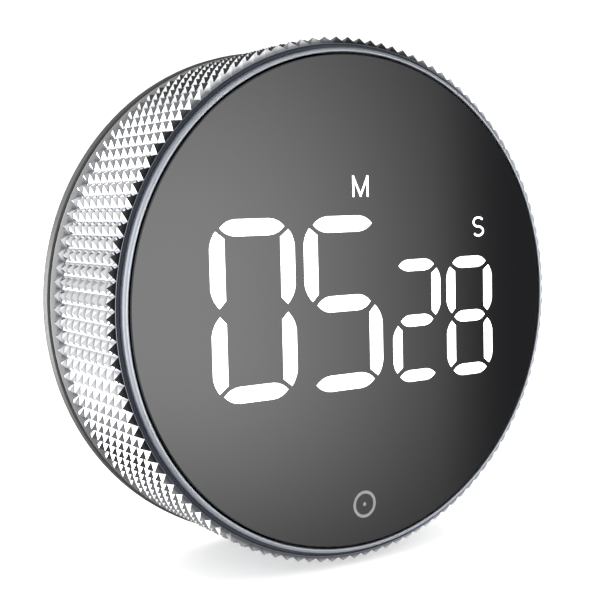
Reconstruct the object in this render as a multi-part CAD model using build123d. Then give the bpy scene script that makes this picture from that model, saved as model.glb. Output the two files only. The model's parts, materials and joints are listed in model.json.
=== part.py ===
from build123d import *
import math
import os

# Magnetic kitchen countdown timer: a round puck with a turning knurled dial,
# a press-to-start face, a battery bay and a magnetic flat back.
# Frame: the dial's axis is Y. The flat back lies on y = 0 and faces +Y,
# the face looks along -Y, +Z is up for upright digits. Millimetres.

# ---- overall -------------------------------------------------------------
T = 26.5                 # depth, back plane to bezel crown
BAND_R = 39.2            # rear band radius
BAND_FRONT = -3.35       # front edge of the rear band
BACK_FILLET = 1.7        # rounding between the band and the back

# ---- dial ----------------------------------------------------------------
TIP_R = 38.9             # knurl tip radius
ROOT_R = 37.9            # knurl root radius
N_TEETH = 120            # pyramids round the dial
N_ROWS = 9               # pyramid rows along the dial
ROW_PITCH = 2.45         # axial pitch of the rows
KNURL_FRONT = -25.32     # front end of the knurl
KNURL_REAR = -3.84       # rear end of the knurl
KNURL_TURN = 2.48        # angle of the first tooth crest from +X, degrees
DIAL_BORE_R = 35.6       # bore of the knurled ring
DIAL_REAR = -3.6         # rear face of the knurled ring
FLANGE_R = 38.15         # low rim that closes the knurl at its rear
BEZEL_IN_R = 36.5
BEZEL_OUT_R = 37.15
BEZEL_SEAT = -24.1       # shoulder that the bezel stands on
LAND_R = 37.5            # inner edge of the ring's front land

# ---- ring gear and encoder pinion ---------------------------------------
GEAR_M = 0.7
N_RING = 96
N_PINION = 16
GEAR_FRONT, GEAR_REAR = -21.6, -19.8
RING_RP = GEAR_M * N_RING / 2
PINION_RP = GEAR_M * N_PINION / 2
PINION_Z = RING_RP - PINION_RP      # pinion axis height above the dial axis

# ---- face stack ----------------------------------------------------------
LENS_R = 36.2
LENS_FRONT, LENS_REAR = -26.5, -24.95
TAPE_REAR = -24.75
CARRIER_R = 35.1
CARRIER_REAR = -23.95
CHASSIS_R = 34.6
CHASSIS_FRONT, CHASSIS_REAR = -23.1, -21.9
FACE_TRAVEL = 0.5
POST_R = 1.3
POSTS = [(30.2, 0), (-30.2, 0), (11, 27), (-11, 27), (11, -27), (-11, -27)]
TACT = (0.0, -27.0)

# ---- housing -------------------------------------------------------------
WALL_OUT_R, WALL_IN_R = 35.2, 33.6
WALL_FRONT = -19.5
BACK_T = 1.8
BAY_W, BAY_L = 32.4, 49.0           # inside of the battery bay
BOX_W, BOX_L = 37.0, 53.0           # outside of the battery box
BOX_TOP = -14.0
BAY_TOP = -13.0
DOOR_RECESS_W, DOOR_RECESS_L = 35.0, 51.1
DOOR_W = 34.4
DOOR_T = 1.7
DOOR_PIVOT = (-0.85, -24.4)         # y, z of the hinge pins
DOOR_TOP = 25.25
BOSS = [(24.6, 16.8), (-24.6, 16.8), (24.6, -16.8), (-24.6, -16.8)]
MAGNET_X = 26.6
MAGNET_R = 6.0
MAGNET_T = 2.4
RUBBER_IN, RUBBER_OUT, RUBBER_T = 34.4, 36.6, 1.0
SLIDER_Z = -29.6
SLIDER_TRAVEL = 2.0

# ---- circuit board -------------------------------------------------------
PCB_R = 32.8
PCB_FRONT, PCB_REAR = -17.6, -16.4
REFLECTOR_FRONT = -21.3

# ---- cells ---------------------------------------------------------------
CELL_R = 5.25
CELL_Y = -7.45
CELL_X = (-10.7, 0.0, 10.7)

os.makedirs("parts", exist_ok=True)


def save(name, solids):
    if isinstance(solids, (list, tuple)):
        solids = Compound(children=list(solids)) if len(solids) > 1 else solids[0]
    export_step(solids, f"parts/{name}.step")


def cyl(r, y0, y1, x=0.0, z=0.0):
    """Solid cylinder along Y from y0 to y1."""
    pl = Plane(origin=(x, y0, z), x_dir=(1, 0, 0), z_dir=(0, 1, 0))
    return extrude(pl * Circle(r), y1 - y0)


def tube(r_out, r_in, y0, y1, x=0.0, z=0.0):
    return cyl(r_out, y0, y1, x, z) - cyl(r_in, y0 - 0.01, y1 + 0.01, x, z)


def box(x0, x1, y0, y1, z0, z1):
    return Pos((x0 + x1) / 2, (y0 + y1) / 2, (z0 + z1) / 2) * Box(x1 - x0, y1 - y0, z1 - z0)


def rbox(w, l, r, y0, y1, x=0.0, z=0.0):
    """Rounded-rectangle slab, w along X and l along Z."""
    pl = Plane(origin=(x, y0, z), x_dir=(1, 0, 0), z_dir=(0, 1, 0))
    return extrude(pl * RectangleRounded(w, l, r), y1 - y0)


def plate(points, y0, y1):
    """Prism along Y of a polygon given as (x, z) points."""
    pts = [Vector(p[0], y0, p[1]) for p in points]
    f = Face(Wire.make_polygon(pts, close=True))
    n = f.normal_at()
    d = (y1 - y0) if n.Y > 0 else -(y1 - y0)
    return Solid.extrude(f, Vector(0, y1 - y0, 0))


def revolve_y(points):
    """Revolve a closed (r, y) polygon about the Y axis."""
    pts = [Vector(p[0], p[1], 0) for p in points]
    f = Face(Wire.make_polygon(pts, close=True))
    return revolve(f, Axis.Y, 360)


# ==========================================================================
# display segments: lens-shaped bars with pointed, mitred ends
# ==========================================================================
def seg_h(cx, cz, length, t):
    e = 0.24 * length if t > 2.2 else 0.27 * length
    prof = [(0.0, 0.0), (0.2, 0.2), (0.42, 0.345), (0.68, 0.45), (1.0, 0.5)]
    top = [(-length / 2 + a * e, b * t) for a, b in prof]
    top += [(-x, z) for x, z in reversed(top)]
    bot = [(x, -z) for x, z in reversed(top)][1:-1]
    return [(cx + x, cz + z) for x, z in top + bot]


def seg_v(x_out, z_hi, z_lo, w, inner_dir, outer_end):
    """Upright bar. x_out: outer edge; inner_dir: +1 when the digit's inside is
    towards +X; outer_end: 'top' or 'bottom', the end by the digit's corner."""
    h = z_hi - z_lo
    tip_hi = 0.42 if outer_end == "top" else 0.57
    tip_lo = 0.57 if outer_end == "top" else 0.42
    len_hi = 1.0 * w if outer_end == "top" else 1.12 * w
    len_lo = 1.12 * w if outer_end == "top" else 1.0 * w
    pr = [(0.0, 0.0), (0.3, 0.16), (0.6, 0.38), (0.82, 0.62), (0.95, 0.84), (1.0, 1.0)]
    pts = []
    # outer edge, from the upper tip down to the lower tip
    for a, b in pr:
        pts.append((tip_hi * w * (1 - a), z_hi - b * len_hi))
    low = [(tip_lo * w * (1 - a), z_lo + b * len_lo) for a, b in pr]
    pts += list(reversed(low))
    # inner edge, upwards
    pts.append((w, z_lo + 0.43 * w * (1.0 if outer_end == "top" else 1.05)))
    pts.append((w, z_hi - 0.43 * w))
    return [(x_out + inner_dir * x, z) for x, z in pts]


def digit(segments, cx, width, w, t, top, mid, bottom, la, lg, gap):
    """Polygons of one seven-bar digit; bars are named a to g as usual."""
    x0, x1 = cx - width / 2, cx + width / 2
    out = []
    for s in segments:
        if s == "a":
            out.append(seg_h(cx, top - t / 2, la, t))
        elif s == "g":
            out.append(seg_h(cx, mid, lg, t))
        elif s == "d":
            out.append(seg_h(cx, bottom + t / 2, la, t))
        elif s == "f":
            out.append(seg_v(x0, top - gap[0], mid + gap[1], w, 1, "top"))
        elif s == "b":
            out.append(seg_v(x1, top - gap[0], mid + gap[1], w, -1, "top"))
        elif s == "e":
            out.append(seg_v(x0, mid - gap[1], bottom + gap[0], w, 1, "bottom"))
        elif s == "c":
            out.append(seg_v(x1, mid - gap[1], bottom + gap[0], w, -1, "bottom"))
    return out


BIG = dict(width=13.65, w=2.38, t=2.36, top=12.9, mid=0.15, bottom=-12.65, la=10.35, lg=9.4, gap=(1.6, 0.55))
SMALL = dict(width=9.25, w=1.75, t=1.78, top=6.0, mid=-3.35, bottom=-12.68, la=6.75, lg=6.2, gap=(1.5, 0.6))
DIGIT_SHIFT = -0.6
D1X, D2X, D3X, D4X = -17.0 + DIGIT_SHIFT, -1.86 + DIGIT_SHIFT, 11.5 + DIGIT_SHIFT, 21.96 + DIGIT_SHIFT
seg_polys = (digit("abcdef", D1X, **BIG) + digit("afgcd", D2X, **BIG)
             + digit("abged", D3X, **SMALL) + digit("abcdefg", D4X, **SMALL))

# unit letters: minutes and seconds, plain strokes
ST = 0.31


def stroke(p, q, w=ST):
    dx, dz = q[0] - p[0], q[1] - p[1]
    n = math.hypot(dx, dz)
    ux, uz = dx / n * w / 2, dz / n * w / 2
    return [(p[0] - ux - uz, p[1] - uz + ux), (q[0] + ux - uz, q[1] + uz + ux),
            (q[0] + ux + uz, q[1] + uz - ux), (p[0] - ux + uz, p[1] - uz - ux)]


MX, MZ, MW, MH = 1.4 + DIGIT_SHIFT, 17.15, 2.55, 2.8
SX, SZ, SW, SH = 23.92 + DIGIT_SHIFT, 10.56, 1.98, 2.84


def letter_m(y0, y1):
    l, r = MX - MW / 2, MX + MW / 2
    b, t = MZ - MH / 2, MZ + MH / 2
    body = plate(stroke((l, b), (l, t)), y0, y1)
    for p, q in (((r, b), (r, t)), ((l, t), (MX, b + 0.05)), ((MX, b + 0.05), (r, t))):
        body = body + plate(stroke(p, q), y0, y1)
    return body


def letter_s(y0, y1):
    r = SH / 4
    pts = []
    # upper bowl, spine, then lower bowl, as one open path of short strokes
    for a in range(32, 253, 20):
        pts.append((SX + (SW / 2) * math.cos(math.radians(a)), SZ + r + r * math.sin(math.radians(a))))
    for a in range(72, -149, -20):
        pts.append((SX + (SW / 2) * math.cos(math.radians(a)), SZ - r + r * math.sin(math.radians(a))))
    n = len(pts)
    left, right = [], []
    for i, p in enumerate(pts):
        q0, q1 = pts[max(i - 1, 0)], pts[min(i + 1, n - 1)]
        dx, dz = q1[0] - q0[0], q1[1] - q0[1]
        m = math.hypot(dx, dz)
        nx, nz = -dz / m * ST / 2, dx / m * ST / 2
        left.append((p[0] + nx, p[1] + nz))
        right.append((p[0] - nx, p[1] - nz))
    return plate(left + list(reversed(right)), y0, y1)


ICON_Z = -30.25
ICON_X = 0.43
SEG_BACK = LENS_REAR + 0.0     # the light bars fill their windows right through

segs = [plate(p, LENS_FRONT, LENS_REAR) for p in seg_polys]
save("display_segments", segs)
legend_m = letter_m(LENS_FRONT, LENS_REAR)
legend_s = letter_s(LENS_FRONT, LENS_REAR)
save("unit_letters", [legend_m, legend_s])
icon_ring = tube(2.05, 1.6, LENS_FRONT, LENS_FRONT + 0.4, ICON_X, ICON_Z)
icon_dot = cyl(0.29, LENS_FRONT, LENS_FRONT + 0.4, ICON_X, ICON_Z)
save("press_mark", [icon_ring, icon_dot])

# ---- smoked face window with its bar-shaped apertures ----
lens = cyl(LENS_R, LENS_FRONT, LENS_REAR)
lens = chamfer(lens.edges().filter_by(GeomType.CIRCLE).group_by(Axis.Y)[0], 0.15)
cutters = [plate(p, LENS_FRONT - 0.5, LENS_REAR + 0.5) for p in seg_polys]
cutters += [letter_m(LENS_FRONT - 0.5, LENS_REAR + 0.5), letter_s(LENS_FRONT - 0.5, LENS_REAR + 0.5)]
cutters += [tube(2.05, 1.6, LENS_FRONT - 0.5, LENS_FRONT + 0.4, ICON_X, ICON_Z),
            cyl(0.29, LENS_FRONT - 0.5, LENS_FRONT + 0.4, ICON_X, ICON_Z)]
lens = lens - cutters
save("face_lens", lens)

# ---- adhesive ring between window and carrier ----
save("face_adhesive", tube(34.8, 32.6, LENS_REAR, TAPE_REAR))

# ---- face carrier: light mask, guide posts, switch pusher ----


def bounds2(poly, m):
    xs = [p[0] for p in poly]
    zs = [p[1] for p in poly]
    return min(xs) - m, max(xs) + m, min(zs) - m, max(zs) + m


carrier = cyl(CARRIER_R, TAPE_REAR, CARRIER_REAR)
mask_cut = []
for p in seg_polys:
    mask_cut.append(plate(p, TAPE_REAR - 1, CARRIER_REAR + 1))
mask_cut.append(box(MX - 1.9, MX + 1.9, TAPE_REAR - 1, CARRIER_REAR + 1, MZ - 1.9, MZ + 1.9))
mask_cut.append(box(SX - 1.4, SX + 1.4, TAPE_REAR - 1, CARRIER_REAR + 1, SZ - 1.9, SZ + 1.9))
carrier = carrier - mask_cut
HOOK_SHOULDER = CHASSIS_REAR + 0.3
for x, z in POSTS:
    carrier = carrier + cyl(POST_R, CARRIER_REAR - 0.1, HOOK_SHOULDER + 0.05, x, z)
    carrier = carrier + cyl(1.7, HOOK_SHOULDER, HOOK_SHOULDER + 0.9, x, z)
carrier = carrier + cyl(2.0, CARRIER_REAR - 0.1, CHASSIS_REAR - 0.2, TACT[0], TACT[1])
PUSHER_END = CHASSIS_REAR - 0.2
save("face_carrier", carrier)

# ==========================================================================
# dial: knurled ring, bezel, ring gear
# ==========================================================================
knurl_pts = []
for i in range(N_TEETH):
    a = math.radians(KNURL_TURN) + 2 * math.pi * i / N_TEETH
    b = math.radians(KNURL_TURN) + 2 * math.pi * (i + 0.5) / N_TEETH
    knurl_pts.append((TIP_R * math.cos(a), TIP_R * math.sin(a)))
    knurl_pts.append((ROOT_R * math.cos(b), ROOT_R * math.sin(b)))
ring = plate(knurl_pts, KNURL_FRONT, KNURL_REAR)
ring = ring + revolve_y([(0, KNURL_FRONT), (ROOT_R - 0.05, KNURL_FRONT),
                         (ROOT_R - 0.05, DIAL_REAR), (0, DIAL_REAR)])
ring = ring - cyl(DIAL_BORE_R, -30, 2) - cyl(BEZEL_OUT_R, -30, BEZEL_SEAT)
# shallow groove between the bezel and the knurl
ring = ring - cyl(LAND_R, -30, KNURL_FRONT + 0.3)
ring = ring + tube(FLANGE_R, ROOT_R - 0.3, KNURL_REAR - 0.04, DIAL_REAR)
save("knurled_ring", ring)

# bezel: polished lip on a straight skirt, crisp inside, rounded over outside
bz = [(BEZEL_IN_R, BEZEL_SEAT), (BEZEL_IN_R, -T + 0.12), (BEZEL_IN_R + 0.04, -T + 0.04)]
for k in range(0, 11):
    a = math.pi / 2 * k / 10
    bz.append((BEZEL_IN_R + 0.14 + (BEZEL_OUT_R - BEZEL_IN_R - 0.14) * math.sin(a), -T + 0.55 * (1 - math.cos(a))))
bz.append((BEZEL_OUT_R, BEZEL_SEAT))
save("bezel", revolve_y(bz))


def gear_points(n, m, add, ded, slack):
    """External gear outline, trapezoid-approximated involute, tooth centred on +Z."""
    rp = m * n / 2
    half = math.pi * m / 4 + slack / 2
    out = []
    for i in range(n):
        c = math.pi / 2 + 2 * math.pi * i / n
        for r, k in ((rp - ded, 1.0), (rp, 0.0), (rp + add, -1.0)):
            pass
        ta = math.tan(math.radians(20))
        w_root = half + ded * ta * 0.9
        w_tip = half - add * ta * 1.05
        w_root = min(w_root, math.pi * (rp - ded) / n - 0.05)
        row = [(rp - ded, -w_root / (rp - ded)), (rp, -half / rp), (rp + add, -w_tip / (rp + add)),
               (rp + add, w_tip / (rp + add)), (rp, half / rp), (rp - ded, w_root / (rp - ded))]
        for r, da in row:
            # angles run clockwise so the list stays in order
            out.append((r * math.cos(c + da), r * math.sin(c + da)))
    return out


ring_gear = cyl(DIAL_BORE_R, GEAR_FRONT, GEAR_REAR) - plate(
    gear_points(N_RING, GEAR_M, 0.80, 0.60, 0.16), GEAR_FRONT - 1, GEAR_REAR + 1)
save("dial_ring_gear", ring_gear)

# encoder pinion with its shaft and top stub
pin_pts = [(x, z + PINION_Z) for x, z in gear_points(N_PINION, GEAR_M, 0.60, 0.80, -0.10)]
pinion = plate(pin_pts, GEAR_FRONT + 0.1, GEAR_REAR - 0.1)
pinion = pinion + cyl(1.5, GEAR_REAR - 0.2, PCB_FRONT - 0.6, 0, PINION_Z)
pinion = pinion + cyl(1.0, CHASSIS_REAR - 0.8, GEAR_FRONT + 0.2, 0, PINION_Z)
save("encoder_pinion", pinion)

# ==========================================================================
# rear housing: band, back wall, bearing wall, battery box, bosses
# ==========================================================================
F = BACK_FILLET
band = [(0, 0), (BAND_R - F, 0)]
for k in range(1, 9):
    a = math.pi / 2 * k / 8
    band.append((BAND_R - F + F * math.sin(a), -F + F * math.cos(a)))
band += [(BAND_R, BAND_FRONT + 0.15), (BAND_R - 0.15, BAND_FRONT), (WALL_OUT_R, BAND_FRONT),
         (WALL_OUT_R, WALL_FRONT), (WALL_IN_R, WALL_FRONT), (WALL_IN_R, -BACK_T), (0, -BACK_T)]
housing = revolve_y(band)
housing = housing + box(-BOX_W / 2, BOX_W / 2, BOX_TOP, -BACK_T + 0.1, -BOX_L / 2, BOX_L / 2)
for x, z in BOSS:
    housing = housing + cyl(2.4, PCB_REAR, -BACK_T + 0.1, x, z)
    # rib that ties each boss to the bearing wall
    ang = math.atan2(z, x)
    rib = Pos((31.5 + 0.8) * math.cos(ang), (-15.0 - BACK_T) / 2, (31.5 + 0.8) * math.sin(ang)) * \
        Rot(0, -math.degrees(ang), 0) * Box(3.6, 15.0 - BACK_T + 0.2, 1.0)
    housing = housing + rib
for s in (-1, 1):
    housing = housing + cyl(MAGNET_R + 1.2, -3.4, -BACK_T + 0.1, s * MAGNET_X, 0)
# cut-outs
housing = housing - box(-BAY_W / 2, BAY_W / 2, BAY_TOP, 1, -BAY_L / 2, BAY_L / 2)
housing = housing - rbox(DOOR_RECESS_W, DOOR_RECESS_L, 2.6, -2.0, 1)
housing = housing - box(-DOOR_RECESS_W / 2, DOOR_RECESS_W / 2, -2.0, 1, -DOOR_RECESS_L / 2, 0)
for s in (-1, 1):
    housing = housing - cyl(MAGNET_R, -MAGNET_T, 1, s * MAGNET_X, 0)
    # blind holes for the door's hinge pins
    housing = housing - Pos(s * 18.2, DOOR_PIVOT[0], DOOR_PIVOT[1]) * Rot(0, 90, 0) * Cylinder(0.55, 1.6)
for x, z in BOSS:
    housing = housing - cyl(1.05, PCB_REAR - 1, -4.0, x, z)
housing = housing - tube(RUBBER_OUT, RUBBER_IN, -RUBBER_T, 1)
# grooves for the glide rings
GLIDES = ((-19.0, -17.6), (-7.0, -5.6))
for y0, y1 in GLIDES:
    housing = housing - tube(WALL_OUT_R + 1, 34.7, y0, y1)
# volume slider window, sound slots, finger notch at the door's free edge
housing = housing - box(-4.3, 4.3, -3, 1, SLIDER_Z - 1.6, SLIDER_Z + 1.6)
for x in (-22.6, -24.8, -27.0):
    housing = housing - rbox(1.1, 4.6, 0.5, -3, 1, x, -10.9)
notch = Pos(0, 0.9, 26.6) * Sphere(2.6)
housing = housing - notch
save("rear_housing", housing)

# ---- anti-slip ring, magnets, glide rings ----
save("anti_slip_ring", tube(RUBBER_OUT, RUBBER_IN, -RUBBER_T, 0))
mags = []
for s in (-1, 1):
    m = cyl(MAGNET_R, -MAGNET_T, 0, s * MAGNET_X, 0)
    m = chamfer(m.edges().filter_by(GeomType.CIRCLE).group_by(Axis.Y)[-1], 0.25)
    mags.append(m)
save("magnets", mags)
save("glide_rings", [tube(DIAL_BORE_R - 0.06, 34.7, y0, y1) for y0, y1 in GLIDES])

# ---- battery door: plate, rounded hinge edge, two pins, tongue catch ----
py, pz = DOOR_PIVOT
door = rbox(DOOR_W, DOOR_TOP - pz + 4, 2.3, -DOOR_T, 0, 0, (DOOR_TOP + pz - 4) / 2)
door = door - box(-30, 30, -5, 5, -60, pz)
door = door + Pos(0, py, pz) * Rot(0, 90, 0) * Cylinder(DOOR_T / 2, DOOR_W)
for s in (-1, 1):
    door = door + Pos(s * (DOOR_W / 2 + 0.45), py, pz) * Rot(0, 90, 0) * Cylinder(0.5, 1.1)
# tongue catch: two slots and a grip hollow
for s in (-1, 1):
    door = door - box(s * 5.4 - 0.4, s * 5.4 + 0.4, -5, 5, DOOR_TOP - 8.5, DOOR_TOP + 2)
door = door - Pos(0, 1.5, DOOR_TOP + 0.2) * Sphere(3.2)
for k in range(3):
    door = door - box(-3.4, 3.4, -0.35, 1, DOOR_TOP - 5.0 - 1.1 * k, DOOR_TOP - 4.5 - 1.1 * k)
# lengthwise stiffening ribs inside, between the cells
for x in (-5.35, 5.35):
    door = door + box(x - 0.4, x + 0.4, -2.6, -DOOR_T + 0.1, -18, 14)
save("battery_door", door)

# ---- cells, alternate ends up ----
cells = []
BODY_L = 43.1
for i, x in enumerate(CELL_X):
    up = 1 if i != 1 else -1
    z_wall = 24.1 * up
    nub_base = z_wall - up * 0.95
    z_low = nub_base - up * BODY_L
    pl = Plane(origin=(x, CELL_Y, z_low), x_dir=(1, 0, 0), z_dir=(0, 0, up))
    c = extrude(pl * Circle(CELL_R - 0.05), BODY_L)
    c = chamfer(c.edges().filter_by(GeomType.CIRCLE), 0.4)
    pn = Plane(origin=(x, CELL_Y, nub_base), x_dir=(1, 0, 0), z_dir=(0, 0, up))
    c = c + extrude(pn * Circle(1.9), 0.9)
    cells.append(c)
save("battery_cells", cells)

# ---- contacts: flat plates at the plus ends, folded leaves at the minus ends ----
plus, minus = [], []
for i, x in enumerate(CELL_X):
    up = 1 if i != 1 else -1
    w = up * BAY_L / 2
    a, b = sorted((w, w - up * 0.4))
    plus.append(box(x - 4.2, x + 4.2, -12.4, -3.4, a, b))
    # leaf in the y-z plane, at the cell's minus end
    e = -w
    cell_end = 24.1 * up - up * 0.95 - up * BODY_L
    d = up
    tipz = cell_end - d * 0.05
    pts = [(-12.4, e), (-3.4, e), (-3.4, e + d * 0.4), (-11.4, e + d * 0.4),
           (-7.9, tipz - d * 0.45), (-7.0, tipz - d * 0.45), (-4.6, e + d * 2.2), (-4.2, e + d * 2.5),
           (-6.6, tipz), (-8.3, tipz), (-12.4, e + d * 0.6)]
    wv = [Vector(x - 3.2, p[0], p[1]) for p in pts]
    f = Face(Wire.make_polygon(wv, close=True))
    minus.append(Solid.extrude(f, Vector(6.4, 0, 0)))
save("battery_contacts_plus", plus)
save("battery_contacts_minus", minus)

# ==========================================================================
# circuit board and what it carries
# ==========================================================================
pcb = cyl(PCB_R, PCB_FRONT, PCB_REAR)
for x, z in BOSS:
    pcb = pcb - cyl(1.1, PCB_FRONT - 1, PCB_REAR + 1, x, z)
save("circuit_board", pcb)

# LED chips: one to each bar, one behind each unit letter
chips = []
for p in seg_polys:
    a, b, c, d = bounds2(p, 0)
    cx, cz = (a + b) / 2, (c + d) / 2
    wide = (b - a) > (d - c)
    hx, hz = (0.8, 0.4) if wide else (0.4, 0.8)
    chips.append(box(cx - hx, cx + hx, PCB_FRONT - 0.7, PCB_FRONT, cz - hz, cz + hz))
for cx, cz in ((MX, MZ), (SX, SZ)):
    chips.append(box(cx - 0.8, cx + 0.8, PCB_FRONT - 0.7, PCB_FRONT, cz - 0.4, cz + 0.4))
save("led_chips", chips)

# reflector block with a light well for each bar
refl = box(-26.6, 27.1, REFLECTOR_FRONT, PCB_FRONT, -14.0, 14.2)
refl = refl + box(MX - 3.0, MX + 3.0, REFLECTOR_FRONT, PCB_FRONT, 14.0, MZ + 2.6)
wells = []
for p in seg_polys:
    wells.append(plate(p, REFLECTOR_FRONT - 1, PCB_FRONT + 1))
wells.append(box(MX - 2.0, MX + 2.0, REFLECTOR_FRONT - 1, PCB_FRONT + 1, MZ - 1.8, MZ + 1.9))
wells.append(box(SX - 1.6, SX + 1.6, REFLECTOR_FRONT - 1, PCB_FRONT + 1, SZ - 1.9, SZ + 1.9))
refl = refl - wells
save("led_reflector", refl)

# tact switch under the pusher
tx, tz = TACT
tact = box(tx - 3, tx + 3, -20.4, PCB_FRONT, tz - 3, tz + 3)
tact = tact - cyl(1.8, -21, -19.2, tx, tz)
tact = chamfer(tact.edges().filter_by(Axis.Y).group_by(SortBy.LENGTH)[-1], 0.4)
save("tact_switch", tact)
save("tact_plunger", cyl(1.75, PUSHER_END + 0.05, -19.8, tx, tz))

# rotary encoder body with the bearing bore of its shaft
enc = box(-4.5, 4.5, -19.6, PCB_FRONT, PINION_Z - 4.5, PINION_Z + 4.5)
enc = enc - cyl(1.55, -20, PCB_FRONT - 0.4, 0, PINION_Z)
save("encoder_body", enc)

# controller, sounder and small parts on the rear of the board
chip = box(4.5, 11.5, PCB_REAR + 0.15, PCB_REAR + 1.35, -9.5, -2.5)
for k in range(8):
    zc = -8.8 + 0.8 * k
    for s in (-1, 1):
        xa = 8.0 + s * 3.5
        xb = 8.0 + s * 4.6
        lo, hi = min(xa, xb), max(xa, xb)
        chip = chip + box(lo, hi, PCB_REAR, PCB_REAR + 0.3, zc - 0.15, zc + 0.15)
save("controller_chip", chip)
buz = box(-12.5, -3.5, PCB_REAR, PCB_REAR + 1.9, 2.0, 11.0)
buz = chamfer(buz.edges().filter_by(Axis.Y), 0.8) - cyl(0.9, PCB_REAR + 1.0, PCB_REAR + 3, -8.0, 6.5)
save("sounder", buz)
small = []
for x, z, hx, hz in ((14.5, 4, 0.8, 0.4), (14.5, 6, 0.8, 0.4), (14.5, 8, 0.8, 0.4), (0.5, -6, 0.4, 0.8),
                     (-1.5, -6, 0.4, 0.8), (4, 5, 1.6, 0.8), (8, 5, 0.8, 0.4), (8, 7, 0.8, 0.4)):
    small.append(box(x - hx, x + hx, PCB_REAR, PCB_REAR + 0.6, z - hz, z + hz))
save("board_components", small)

# volume switch on the rear of the board, its lever and the slider in the back
vs = box(-4.3, 4.3, PCB_REAR, -12.9, SLIDER_Z - 1.8, SLIDER_Z + 1.8)
vs = vs - box(-2.9, 2.9, -14.4, -12, SLIDER_Z - 1.0, SLIDER_Z + 1.0)
save("volume_switch", vs)
save("volume_switch_lever", box(-0.6, 0.6, -14.1, -10.6, SLIDER_Z - 0.7, SLIDER_Z + 0.7))
sl = box(-2.0, 2.0, -2.5, -0.3, SLIDER_Z - 1.3, SLIDER_Z + 1.3)
sl = sl + box(-6.6, 6.6, -3.0, -2.2, SLIDER_Z - 2.2, SLIDER_Z + 2.2)
sl = sl + box(-1.9, 1.9, -12.3, -2.9, SLIDER_Z - 1.1, SLIDER_Z + 1.1)
sl = sl - box(-0.75, 0.75, -13, -9.9, SLIDER_Z - 2, SLIDER_Z + 2)
for k in (-1, 0, 1):
    sl = sl - box(0.9 * k - 0.2, 0.9 * k + 0.2, -0.6, 0.5, SLIDER_Z - 2, SLIDER_Z + 2)
save("volume_slider", sl)

# ==========================================================================
# chassis, its screws and the diffuser film
# ==========================================================================
ch = cyl(CHASSIS_R, CHASSIS_FRONT, CHASSIS_REAR)
for x, z in BOSS:
    ch = ch + cyl(2.25, CHASSIS_REAR - 0.1, PCB_FRONT, x, z)
for x, z in BOSS:
    ch = ch - cyl(1.05, CHASSIS_FRONT - 1, PCB_FRONT + 1, x, z)
    ch = ch - cyl(1.95, CHASSIS_FRONT - 1, CHASSIS_FRONT + 1.0, x, z)
for x, z in POSTS:
    ch = ch - cyl(POST_R + 0.05, CHASSIS_FRONT - 1, CHASSIS_REAR + 1, x, z)
ch = ch - cyl(2.4, CHASSIS_FRONT - 1, CHASSIS_REAR + 1, tx, tz)
ch = ch - cyl(1.05, CHASSIS_FRONT + 0.3, CHASSIS_REAR + 1, 0, PINION_Z)
ch = ch - box(-25.8, 26.2, CHASSIS_FRONT - 1, CHASSIS_REAR + 1, -13.4, 13.6)
ch = ch - box(MX - 2.4, MX + 2.4, CHASSIS_FRONT - 1, CHASSIS_REAR + 1, 13.0, MZ + 2.2)
save("chassis", ch)
screws = []
for x, z in BOSS:
    s = cyl(1.85, CHASSIS_FRONT + 0.1, CHASSIS_FRONT + 1.0, x, z)
    s = s + cyl(1.0, CHASSIS_FRONT + 0.9, -9.0, x, z)
    s = s - box(x - 1.1, x + 1.1, CHASSIS_FRONT - 1, CHASSIS_FRONT + 0.6, z - 0.22, z + 0.22)
    s = s - box(x - 0.22, x + 0.22, CHASSIS_FRONT - 1, CHASSIS_FRONT + 0.6, z - 1.1, z + 1.1)
    screws.append(s)
save("chassis_screws", screws)
film = box(-26.4, 26.8, REFLECTOR_FRONT - 0.2, REFLECTOR_FRONT, -13.9, 14.1)
film = film + box(MX - 2.8, MX + 2.8, REFLECTOR_FRONT - 0.2, REFLECTOR_FRONT, 14.0, MZ + 2.4)
save("diffuser_film", film)
print("parts written:", len(os.listdir("parts")))
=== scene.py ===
import json
import math

import bmesh
import bpy
from mathutils import Matrix, Vector


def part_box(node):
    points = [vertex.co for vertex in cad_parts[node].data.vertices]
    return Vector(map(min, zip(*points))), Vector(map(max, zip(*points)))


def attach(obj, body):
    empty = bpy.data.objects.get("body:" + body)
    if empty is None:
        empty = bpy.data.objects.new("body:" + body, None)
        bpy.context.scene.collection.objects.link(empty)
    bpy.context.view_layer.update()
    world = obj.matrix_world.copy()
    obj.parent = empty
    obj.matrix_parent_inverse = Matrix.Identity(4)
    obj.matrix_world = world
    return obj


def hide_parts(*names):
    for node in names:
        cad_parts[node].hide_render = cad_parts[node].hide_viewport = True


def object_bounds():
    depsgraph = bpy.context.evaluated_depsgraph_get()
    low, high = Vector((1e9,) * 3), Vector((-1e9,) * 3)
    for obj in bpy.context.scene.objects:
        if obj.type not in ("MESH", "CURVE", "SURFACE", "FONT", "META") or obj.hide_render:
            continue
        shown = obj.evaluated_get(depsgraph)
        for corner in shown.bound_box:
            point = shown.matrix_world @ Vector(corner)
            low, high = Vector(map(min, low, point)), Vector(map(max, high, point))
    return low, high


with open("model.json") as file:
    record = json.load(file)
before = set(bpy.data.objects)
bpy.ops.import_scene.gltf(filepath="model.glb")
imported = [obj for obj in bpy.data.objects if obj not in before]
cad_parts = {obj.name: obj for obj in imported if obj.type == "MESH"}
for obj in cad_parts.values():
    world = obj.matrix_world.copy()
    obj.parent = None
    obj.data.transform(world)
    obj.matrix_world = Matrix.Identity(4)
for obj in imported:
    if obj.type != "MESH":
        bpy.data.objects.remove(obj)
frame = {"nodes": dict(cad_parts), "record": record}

CAD_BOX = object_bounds()
NODES = frame["nodes"]
MM = 0.001
FACE_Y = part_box("bezel")[0].y             # crown of the bezel
RING_LO, RING_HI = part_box("knurled_ring")


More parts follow.
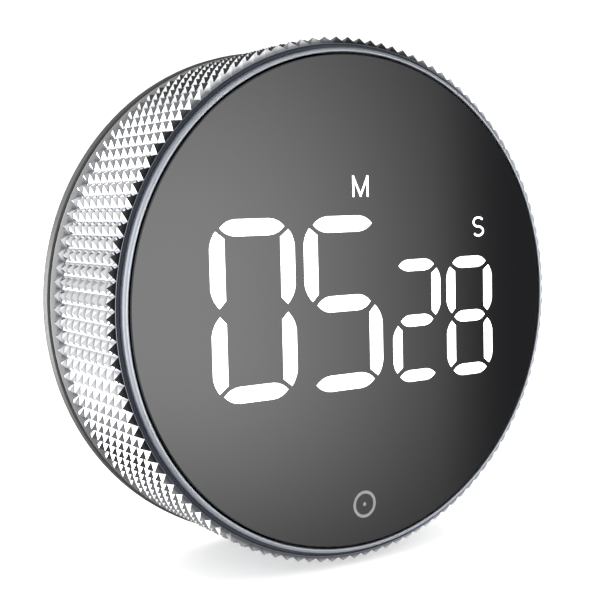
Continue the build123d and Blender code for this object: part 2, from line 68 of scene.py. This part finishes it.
# ==========================================================================
# node helpers
# ==========================================================================
class Mat:
    """A procedural material: a Principled shader and a small set of noise helpers."""

    def __init__(self, name, base, metallic=0.0, rough=0.4, **extra):
        self.m = bpy.data.materials.new(name)
        self.m.use_nodes = True
        self.t = self.m.node_tree
        self.p = self.t.nodes["Principled BSDF"]
        self.p.inputs["Base Color"].default_value = (*base, 1)
        self.p.inputs["Metallic"].default_value = metallic
        self.p.inputs["Roughness"].default_value = rough
        for k, v in extra.items():
            self.p.inputs[k.replace("_", " ")].default_value = v
        self.m.diffuse_color = (*base, 1)
        self.co = None

    def node(self, kind, **kw):
        n = self.t.nodes.new(kind)
        for k, v in kw.items():
            setattr(n, k, v)
        return n

    def link(self, a, b):
        self.t.links.new(a, b)

    def coords(self, scale=(1, 1, 1)):
        if self.co is None:
            self.co = self.node("ShaderNodeTexCoord")
        mp = self.node("ShaderNodeMapping")
        mp.inputs["Scale"].default_value = scale
        self.link(self.co.outputs["Object"], mp.inputs["Vector"])
        return mp.outputs["Vector"]

    def noise(self, scale, detail=3.0, rough=0.55, stretch=(1, 1, 1)):
        n = self.node("ShaderNodeTexNoise")
        n.inputs["Scale"].default_value = scale
        n.inputs["Detail"].default_value = detail
        n.inputs["Roughness"].default_value = rough
        self.link(self.coords(stretch), n.inputs["Vector"])
        return n.outputs["Fac"]

    def ramp(self, fac, stops):
        r = self.node("ShaderNodeValToRGB")
        while len(r.color_ramp.elements) < len(stops):
            r.color_ramp.elements.new(0.5)
        for e, (pos, col) in zip(r.color_ramp.elements, stops):
            e.position = pos
            e.color = (*col, 1) if len(col) == 3 else col
        self.link(fac, r.inputs["Fac"])
        return r.outputs["Color"]

    def remap(self, fac, lo, hi, a=0.3, b=0.7):
        r = self.node("ShaderNodeMapRange")
        r.inputs["From Min"].default_value = a
        r.inputs["From Max"].default_value = b
        r.inputs["To Min"].default_value = lo
        r.inputs["To Max"].default_value = hi
        self.link(fac, r.inputs["Value"])
        return r.outputs["Result"]

    def rough(self, fac, lo, hi):
        self.link(self.remap(fac, lo, hi), self.p.inputs["Roughness"])
        return self

    def color(self, fac, a, b):
        self.link(self.ramp(fac, [(0.3, a), (0.7, b)]), self.p.inputs["Base Color"])
        return self

    def bump(self, fac, strength, dist):
        b = self.node("ShaderNodeBump")
        b.inputs["Strength"].default_value = strength
        b.inputs["Distance"].default_value = dist
        self.link(fac, b.inputs["Height"])
        old = self.p.inputs["Normal"].links
        if old:
            self.link(old[0].from_socket, b.inputs["Normal"])
        self.link(b.outputs["Normal"], self.p.inputs["Normal"])
        return self


def grey(v):
    return (v, v, v)


# ==========================================================================
# materials
# ==========================================================================
def make_chrome():
    m = Mat("chrome_plate", (0.90, 0.915, 0.94), 1.0, 0.05)
    n = m.noise(900, 4)
    m.rough(n, 0.035, 0.085)
    return m.m


def make_knurl():
    """Plated knurl: base colour painted darker towards the roots, a painted shade in the valleys between the teeth.
    """
    m = Mat("knurl_chrome_painted_root_shade", (0.90, 0.915, 0.94), 1.0, 0.05)
    n = m.noise(900, 4)
    m.rough(n, 0.035, 0.085)
    # painted shade: base colour ramps from dark at the tooth roots to bright at the tips, by radius
    r = m.node("ShaderNodeVectorMath", operation="LENGTH")
    m.link(m.coords((1, 0, 1)), r.inputs[0])
    depth = m.remap(r.outputs["Value"], 0.0, 1.0, 0.03805, 0.0388)
    m.link(m.ramp(depth, [(0.0, (0.30, 0.31, 0.34)), (0.35, (0.62, 0.635, 0.66)), (0.6, (0.91, 0.925, 0.95))]),
           m.p.inputs["Base Color"])
    return m.m


def make_bezel():
    m = Mat("bezel_chrome", (0.86, 0.91, 0.98), 1.0, 0.3)
    n = m.noise(700, 4)
    m.rough(n, 0.48, 0.56)
    return m.m


def make_window():
    m = Mat("smoked_window", (0.008, 0.008, 0.009), 0.0, 0.03)
    m.p.inputs["Specular IOR Level"].default_value = 0.9
    n = m.noise(60, 5)
    m.rough(n, 0.015, 0.05)
    return m.m


def make_lit():
    m = Mat("lit_white", (0.9, 0.9, 0.9), 0.0, 0.5)
    m.p.inputs["Emission Color"].default_value = (1, 1, 1, 1)
    m.p.inputs["Emission Strength"].default_value = 2.2
    m.rough(m.noise(300, 2), 0.4, 0.6)
    return m.m


def make_mark():
    m = Mat("mark_grey", (0.25, 0.25, 0.25), 0.0, 0.5)
    n = m.noise(2500, 2)
    m.color(n, grey(0.23), grey(0.28)).rough(n, 0.4, 0.6)
    return m.m


def make_housing():
    m = Mat("housing_grey", (0.05, 0.05, 0.05), 0.0, 0.34)
    n = m.noise(120, 4)
    fine = m.noise(2600, 3)
    m.color(n, (0.044, 0.044, 0.043), (0.056, 0.056, 0.055)).rough(fine, 0.28, 0.4)
    m.bump(fine, 0.25, 0.00003)
    return m.m


def make_plastic(name, a, b, lo, hi, scale=1800, depth=0.00003, strength=0.25):
    m = Mat(name, a, 0.0, (lo + hi) / 2)
    n = m.noise(90, 4)
    fine = m.noise(scale, 3)
    m.color(n, a, b).rough(fine, lo, hi)
    m.bump(fine, strength, depth)
    return m.m


def make_metal(name, a, b, lo, hi, stretch=(1, 1, 1), scale=600, bump=0.0):
    m = Mat(name, a, 1.0, (lo + hi) / 2)
    n = m.noise(scale, 4, stretch=stretch)
    m.color(n, a, b).rough(n, lo, hi)
    if bump:
        m.bump(n, bump, 0.00002)
    return m.m


MATERIALS = {
    "chrome_plate": make_chrome(),
    "smoked_window": make_window(),
    "lit_white": make_lit(),
    "mark_grey": make_mark(),
    "housing_grey": make_housing(),
    "black_plastic": make_plastic("black_plastic", grey(0.018), grey(0.026), 0.35, 0.5),
    "white_plastic": make_plastic("white_plastic", (0.72, 0.72, 0.70), (0.78, 0.78, 0.76), 0.35, 0.5),
    "board_green": make_plastic("board_green", (0.01, 0.085, 0.035), (0.015, 0.12, 0.05), 0.3, 0.45, 900),
    "nickel": make_metal("nickel", (0.62, 0.60, 0.56), (0.70, 0.68, 0.64), 0.18, 0.34),
    "rubber_black": make_plastic("rubber_black", grey(0.022), grey(0.034), 0.7, 0.9, 3200, 0.00006, 0.5),
    "bearing_white": make_plastic("bearing_white", (0.78, 0.78, 0.75), (0.83, 0.83, 0.80), 0.3, 0.42),
    "cell_wrap": make_plastic("cell_wrap", (0.03, 0.16, 0.09), (0.04, 0.20, 0.11), 0.22, 0.34, 700, 0.00001, 0.15),
    "led_cream": make_plastic("led_cream", (0.80, 0.70, 0.42), (0.86, 0.78, 0.5), 0.3, 0.45),
    "screw_steel": make_metal("screw_steel", (0.42, 0.42, 0.43), (0.52, 0.52, 0.53), 0.25, 0.42),
    "film_white": make_plastic("film_white", (0.8, 0.8, 0.8), (0.86, 0.86, 0.86), 0.5, 0.65),
    "adhesive_black": make_plastic("adhesive_black", grey(0.012), grey(0.02), 0.6, 0.8),
}
BEZEL_MAT = make_bezel()
RIM_MAT = make_metal("rim_satin", (0.86, 0.87, 0.89), (0.90, 0.91, 0.93), 0.42, 0.52)
KNURL_MAT = make_knurl()
# painted shade: a dark material for the groove floor and bezel seat, standing in for the shade in that recess
GROOVE_PAINTED_SHADE = make_plastic("groove_painted_shade", (0.026, 0.030, 0.044), (0.034, 0.039, 0.055), 0.3, 0.4)

for part in frame["record"]["subparts"]:
    o = NODES[part["node"]]
    mat = BEZEL_MAT if part["node"] == "bezel" else MATERIALS[part["material_slot"]]
    o.data.materials.clear()
    o.data.materials.append(mat)

# ==========================================================================
# knurled ring: 120 x 9 true pyramids on a turned ring
# ==========================================================================
TEETH, ROWS = 120, 9
TIP = 0.0389
ROOT = 0.03788
TURN = 2.48
PITCH = 0.00245
FRONT = RING_LO.y
APEX0 = -0.02466
ROW_ENDS = [FRONT] + [APEX0 + PITCH * (k + 0.5) for k in range(ROWS)]
VALLEY = 0.03812                          # valleys between the rows, shallower than the front edge


def on_ring(r, y, deg):
    a = math.radians(deg)
    return Vector((r * math.cos(a), y, r * math.sin(a)))


def knurled_ring():
    bm = bmesh.new()
    step = 360 / TEETH
    corner = [[bm.verts.new(on_ring(ROOT if k == 0 else VALLEY, y, TURN + step * (i - 0.5))) for i in range(TEETH)]
              for k, y in enumerate(ROW_ENDS)]
    for k in range(ROWS):
        for i in range(TEETH):
            j = (i + 1) % TEETH
            tip = bm.verts.new(on_ring(TIP, APEX0 + PITCH * k, TURN + step * i))
            a, b, c, d = corner[k][i], corner[k][j], corner[k + 1][j], corner[k + 1][i]
            bm.faces.new((tip, a, b))
            bm.faces.new((tip, b, c))
            bm.faces.new((tip, c, d))
            bm.faces.new((tip, d, a))
    # front: bright edge at the tooth roots, groove floor and bezel seat in a dark material that paints the shade of
    # the recess, bore; then rear face and flange
    rear = RING_HI.y
    prof = [(0.03783, FRONT - 0.00002, 0), (0.03779, FRONT + 0.00001, 0), (0.03768, FRONT + 0.00010, 1),
            (0.03752, FRONT + 0.00016, 1), (0.03730, FRONT + 0.00018, 1), (0.03716, FRONT + 0.00018, 1),
            (0.03716, -0.0241, 1), (0.0356, -0.0241, 0), (0.0356, rear, 2), (0.0386, rear, 2),
            (0.03885, rear - 0.00003, 2), (0.0389, rear - 0.00008, 2), (0.0389, ROW_ENDS[-1] + 0.00002, 2)]
    rings, kinds = [corner[0]], []
    for r, y, kind in prof:
        rings.append([bm.verts.new(on_ring(r, y, TURN + step * (i - 0.5))) for i in range(TEETH)])
        kinds.append(kind)
    rings.append(corner[-1])
    kinds.append(2)
    for kind, r0, r1 in zip(kinds, rings, rings[1:]):
        for i in range(TEETH):
            j = (i + 1) % TEETH
            f = bm.faces.new((r0[i], r1[i], r1[j], r0[j]))
            f.smooth = True
            f.material_index = kind
    bmesh.ops.recalc_face_normals(bm, faces=bm.faces)
    for f in bm.faces:
        if len(f.verts) == 3:
            f.smooth = False
    me = bpy.data.meshes.new("knurled_ring_full")
    bm.to_mesh(me)
    bm.free()
    o = bpy.data.objects.new("knurled_ring_full", me)
    bpy.context.scene.collection.objects.link(o)
    me.materials.append(KNURL_MAT)
    # slot 1: the dark material that paints the groove's shade
    me.materials.append(GROOVE_PAINTED_SHADE)
    me.materials.append(RIM_MAT)
    return o


knurl = knurled_ring()
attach(knurl, "dial")
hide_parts("knurled_ring")


# bezel: a polished lip, finely turned
def bezel_ring():
    lo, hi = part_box("bezel")
    seat = hi.y
    r_in, r_out = 0.0365, 0.03715
    prof = [(r_in, seat), (r_in, FACE_Y + 0.00012), (r_in + 0.00004, FACE_Y + 0.00004)]
    for k in range(0, 17):
        a = math.pi / 2 * k / 16
        prof.append((r_in + 0.00014 + (r_out - r_in - 0.00014) * math.sin(a), FACE_Y + 0.00055 * (1 - math.cos(a))))
    prof.append((r_out, seat))
    n = 240
    bm = bmesh.new()
    rings = [[bm.verts.new(on_ring(r, y, 360 * i / n)) for i in range(n)] for r, y in prof]
    rings.append(rings[0])
    for r0, r1 in zip(rings, rings[1:]):
        for i in range(n):
            j = (i + 1) % n
            f = bm.faces.new((r0[i], r1[i], r1[j], r0[j]))
            f.smooth = True
    bmesh.ops.recalc_face_normals(bm, faces=bm.faces)
    me = bpy.data.meshes.new("bezel_lip")
    bm.to_mesh(me)
    bm.free()
    o = bpy.data.objects.new("bezel_lip", me)
    bpy.context.scene.collection.objects.link(o)
    me.materials.append(BEZEL_MAT)
    return o


bezel = bezel_ring()
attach(bezel, "dial")
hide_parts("bezel")

# ==========================================================================
# surroundings: studio light by direction, floor, soft lights
# ==========================================================================
world = bpy.data.worlds.new("studio")
bpy.context.scene.world = world
world.use_nodes = True
wt = world.node_tree
wt.nodes.clear()


def heading(phi, elev):
    """Direction at heading phi (0 in front of the face, + to its right) and elevation, degrees."""
    p, e = math.radians(phi), math.radians(elev)
    return Vector((math.sin(p) * math.cos(e), -math.cos(p) * math.cos(e), math.sin(e)))


w_geo = wt.nodes.new("ShaderNodeTexCoord")


def w_math(op, a, b=None, clamp=False):
    n = wt.nodes.new("ShaderNodeMath")
    n.operation = op
    n.use_clamp = clamp
    for k, v in ((0, a), (1, b)):
        if v is None:
            continue
        if isinstance(v, (int, float)):
            n.inputs[k].default_value = v
        else:
            wt.links.new(v, n.inputs[k])
    return n.outputs[0]


def along(d):
    n = wt.nodes.new("ShaderNodeVectorMath")
    n.operation = "DOT_PRODUCT"
    wt.links.new(w_geo.outputs["Generated"], n.inputs[0])
    n.inputs[1].default_value = d
    return n.outputs["Value"]


def step_up(v, a, b):
    n = wt.nodes.new("ShaderNodeMapRange")
    n.interpolation_type = "SMOOTHSTEP"
    n.inputs["From Min"].default_value = a
    n.inputs["From Max"].default_value = b
    wt.links.new(v, n.inputs["Value"])
    return n.outputs["Result"]


def lobe(phi, elev, inner, outer, power):
    """Round soft light: full inside the inner angle, nothing past the outer."""
    s = step_up(along(heading(phi, elev)), math.cos(math.radians(outer)), math.cos(math.radians(inner)))
    return w_math("MULTIPLY", s, power)


def panel(phi, e_lo, e_hi, half, soft, power, soft_e=8.0, soft_hi=None):
    """Upright soft box centred on a heading, between two elevations."""
    c = along(heading(phi, 0))
    s = along(heading(phi + 90, 0))
    ang = w_math("ARCTAN2", s, c)
    off = w_math("ABSOLUTE", ang)
    side = step_up(off, math.radians(half + soft), math.radians(half))
    up = along(Vector((0, 0, 1)))
    low = step_up(up, math.sin(math.radians(max(-90, e_lo - soft_e))), math.sin(math.radians(e_lo)))
    high = step_up(up, math.sin(math.radians(min(90, e_hi + (soft_hi or soft_e)))), math.sin(math.radians(e_hi)))
    v = w_math("MULTIPLY", side, low)
    v = w_math("MULTIPLY", v, high)
    return w_math("MULTIPLY", v, power)


total = None
for light in (
    # white wall behind to the left
    panel(-142, -24, 30, 26, 12, 0.98, 10),
    # a brighter window in it
    lobe(-148, -5, 8, 24, 3.5),
    # tall soft box at the far left
    panel(-86, -26, 30, 26, 10, 0.74, 30),
    # soft box in front, to the right, fading further right
    w_math("MULTIPLY", panel(4, -7, -3, 22, 19.5, 2.7, 17, 25), panel(0, -60, 60, 38.6, 4.7, 1.0)),
    # high front light
    lobe(20, 60, 10, 26, 0.75),
    # overhead to the left, with a small bright lamp in it
    lobe(-65, 62, 10, 30, 0.36),
    lobe(-48, 73, 3, 9, 0.5),
    # tall soft box to the right
    panel(100, -40, 22, 14, 12, 0.85, 22),
    # dim wall behind
    panel(178, -40, 40, 40, 14, 0.16, 14),
    # glow from below
    lobe(20, -78, 22, 44, 0.30),
):
    total = light if total is None else w_math("ADD", total, light)
base = w_math("ADD", total, 0.05)
seen = wt.nodes.new("ShaderNodeBackground")       # what polished parts reflect
tint = wt.nodes.new("ShaderNodeCombineColor")
wt.links.new(w_math("MULTIPLY", base, 1.0), tint.inputs[0])
wt.links.new(w_math("MULTIPLY", base, 0.998), tint.inputs[1])
wt.links.new(w_math("MULTIPLY", base, 0.995), tint.inputs[2])
wt.links.new(tint.outputs[0], seen.inputs["Color"])
white = wt.nodes.new("ShaderNodeBackground")      # even light on everything else
white.inputs["Color"].default_value = (1, 1, 1, 1)
white.inputs["Strength"].default_value = 1.25
path = wt.nodes.new("ShaderNodeLightPath")
mix = wt.nodes.new("ShaderNodeMixShader")
out = wt.nodes.new("ShaderNodeOutputWorld")
wt.links.new(path.outputs["Is Glossy Ray"], mix.inputs["Fac"])
wt.links.new(white.outputs[0], mix.inputs[1])
wt.links.new(seen.outputs[0], mix.inputs[2])
wt.links.new(mix.outputs[0], out.inputs["Surface"])
world.cycles.sampling_method = "NONE"

# floor
lo, hi = CAD_BOX
me = bpy.data.meshes.new("floor")
bm = bmesh.new()
bmesh.ops.create_grid(bm, x_segments=8, y_segments=8, size=6.0)
bm.to_mesh(me)
bm.free()
floor = bpy.data.objects.new("floor", me)
floor.location = (0, 0, lo.z - 0.0005)
bpy.context.scene.collection.objects.link(floor)
fm = Mat("floor_paper", (0.93, 0.93, 0.93), 0.0, 0.9)
fm.color(fm.noise(3, 3), grey(0.92), grey(0.94)).rough(fm.noise(40, 3), 0.85, 0.95)
fm.p.inputs["Emission Color"].default_value = (1, 1, 1, 1)
fm.p.inputs["Emission Strength"].default_value = 0.4
me.materials.append(fm.m)
floor.visible_glossy = False


def area(name, loc, target, size, power):
    d = bpy.data.lights.new(name, "AREA")
    d.shape = "SQUARE"
    d.size = size
    d.energy = power
    o = bpy.data.objects.new(name, d)
    o.location = loc
    o.rotation_euler = (Vector(target) - Vector(loc)).to_track_quat("-Z", "Y").to_euler()
    bpy.context.scene.collection.objects.link(o)
    o.visible_glossy = False
    return o


area("key", (-0.25, -0.30, 0.75), (0, 0, 0), 0.5, 1.6)
area("fill", (0.5, -0.5, 0.45), (0, 0, 0), 0.6, 0.8)
area("rear", (0.1, 0.7, 0.6), (0, 0, 0), 0.7, 1.2)

# ==========================================================================
# camera
# ==========================================================================
UNIT = 36.5
yaw, pitch, roll = 0.5592974, 0.0845284, 0.0243776
t = Vector((0.23525897, 0.01276267, 4.55912024))
fwd = Vector((math.sin(yaw) * math.cos(pitch), math.cos(yaw) * math.cos(pitch), -math.sin(pitch)))
right0 = Vector((math.cos(yaw), -math.sin(yaw), 0))
down0 = fwd.cross(right0)
right = math.cos(roll) * right0 + math.sin(roll) * down0
down = -math.sin(roll) * right0 + math.cos(roll) * down0
rows = Matrix((right, down, fwd))
place = -(rows.transposed() @ t) * UNIT * MM + Vector((0, FACE_Y, 0))
cam_data = bpy.data.cameras.new("camera")
cam_data.sensor_fit = "HORIZONTAL"
cam_data.sensor_width = 36.0
cam_data.lens = 1129.6 / 600 * 36.0
cam_data.clip_start, cam_data.clip_end = 0.01, 50
cam = bpy.data.objects.new("camera", cam_data)
m = Matrix((right, -down, -fwd)).transposed().to_4x4()
m.translation = place
cam.matrix_world = m
bpy.context.scene.collection.objects.link(cam)
bpy.context.scene.camera = cam

bpy.context.scene.view_settings.view_transform = "Standard"
bpy.context.scene.view_settings.look = "None"

bpy.context.view_layer.update()
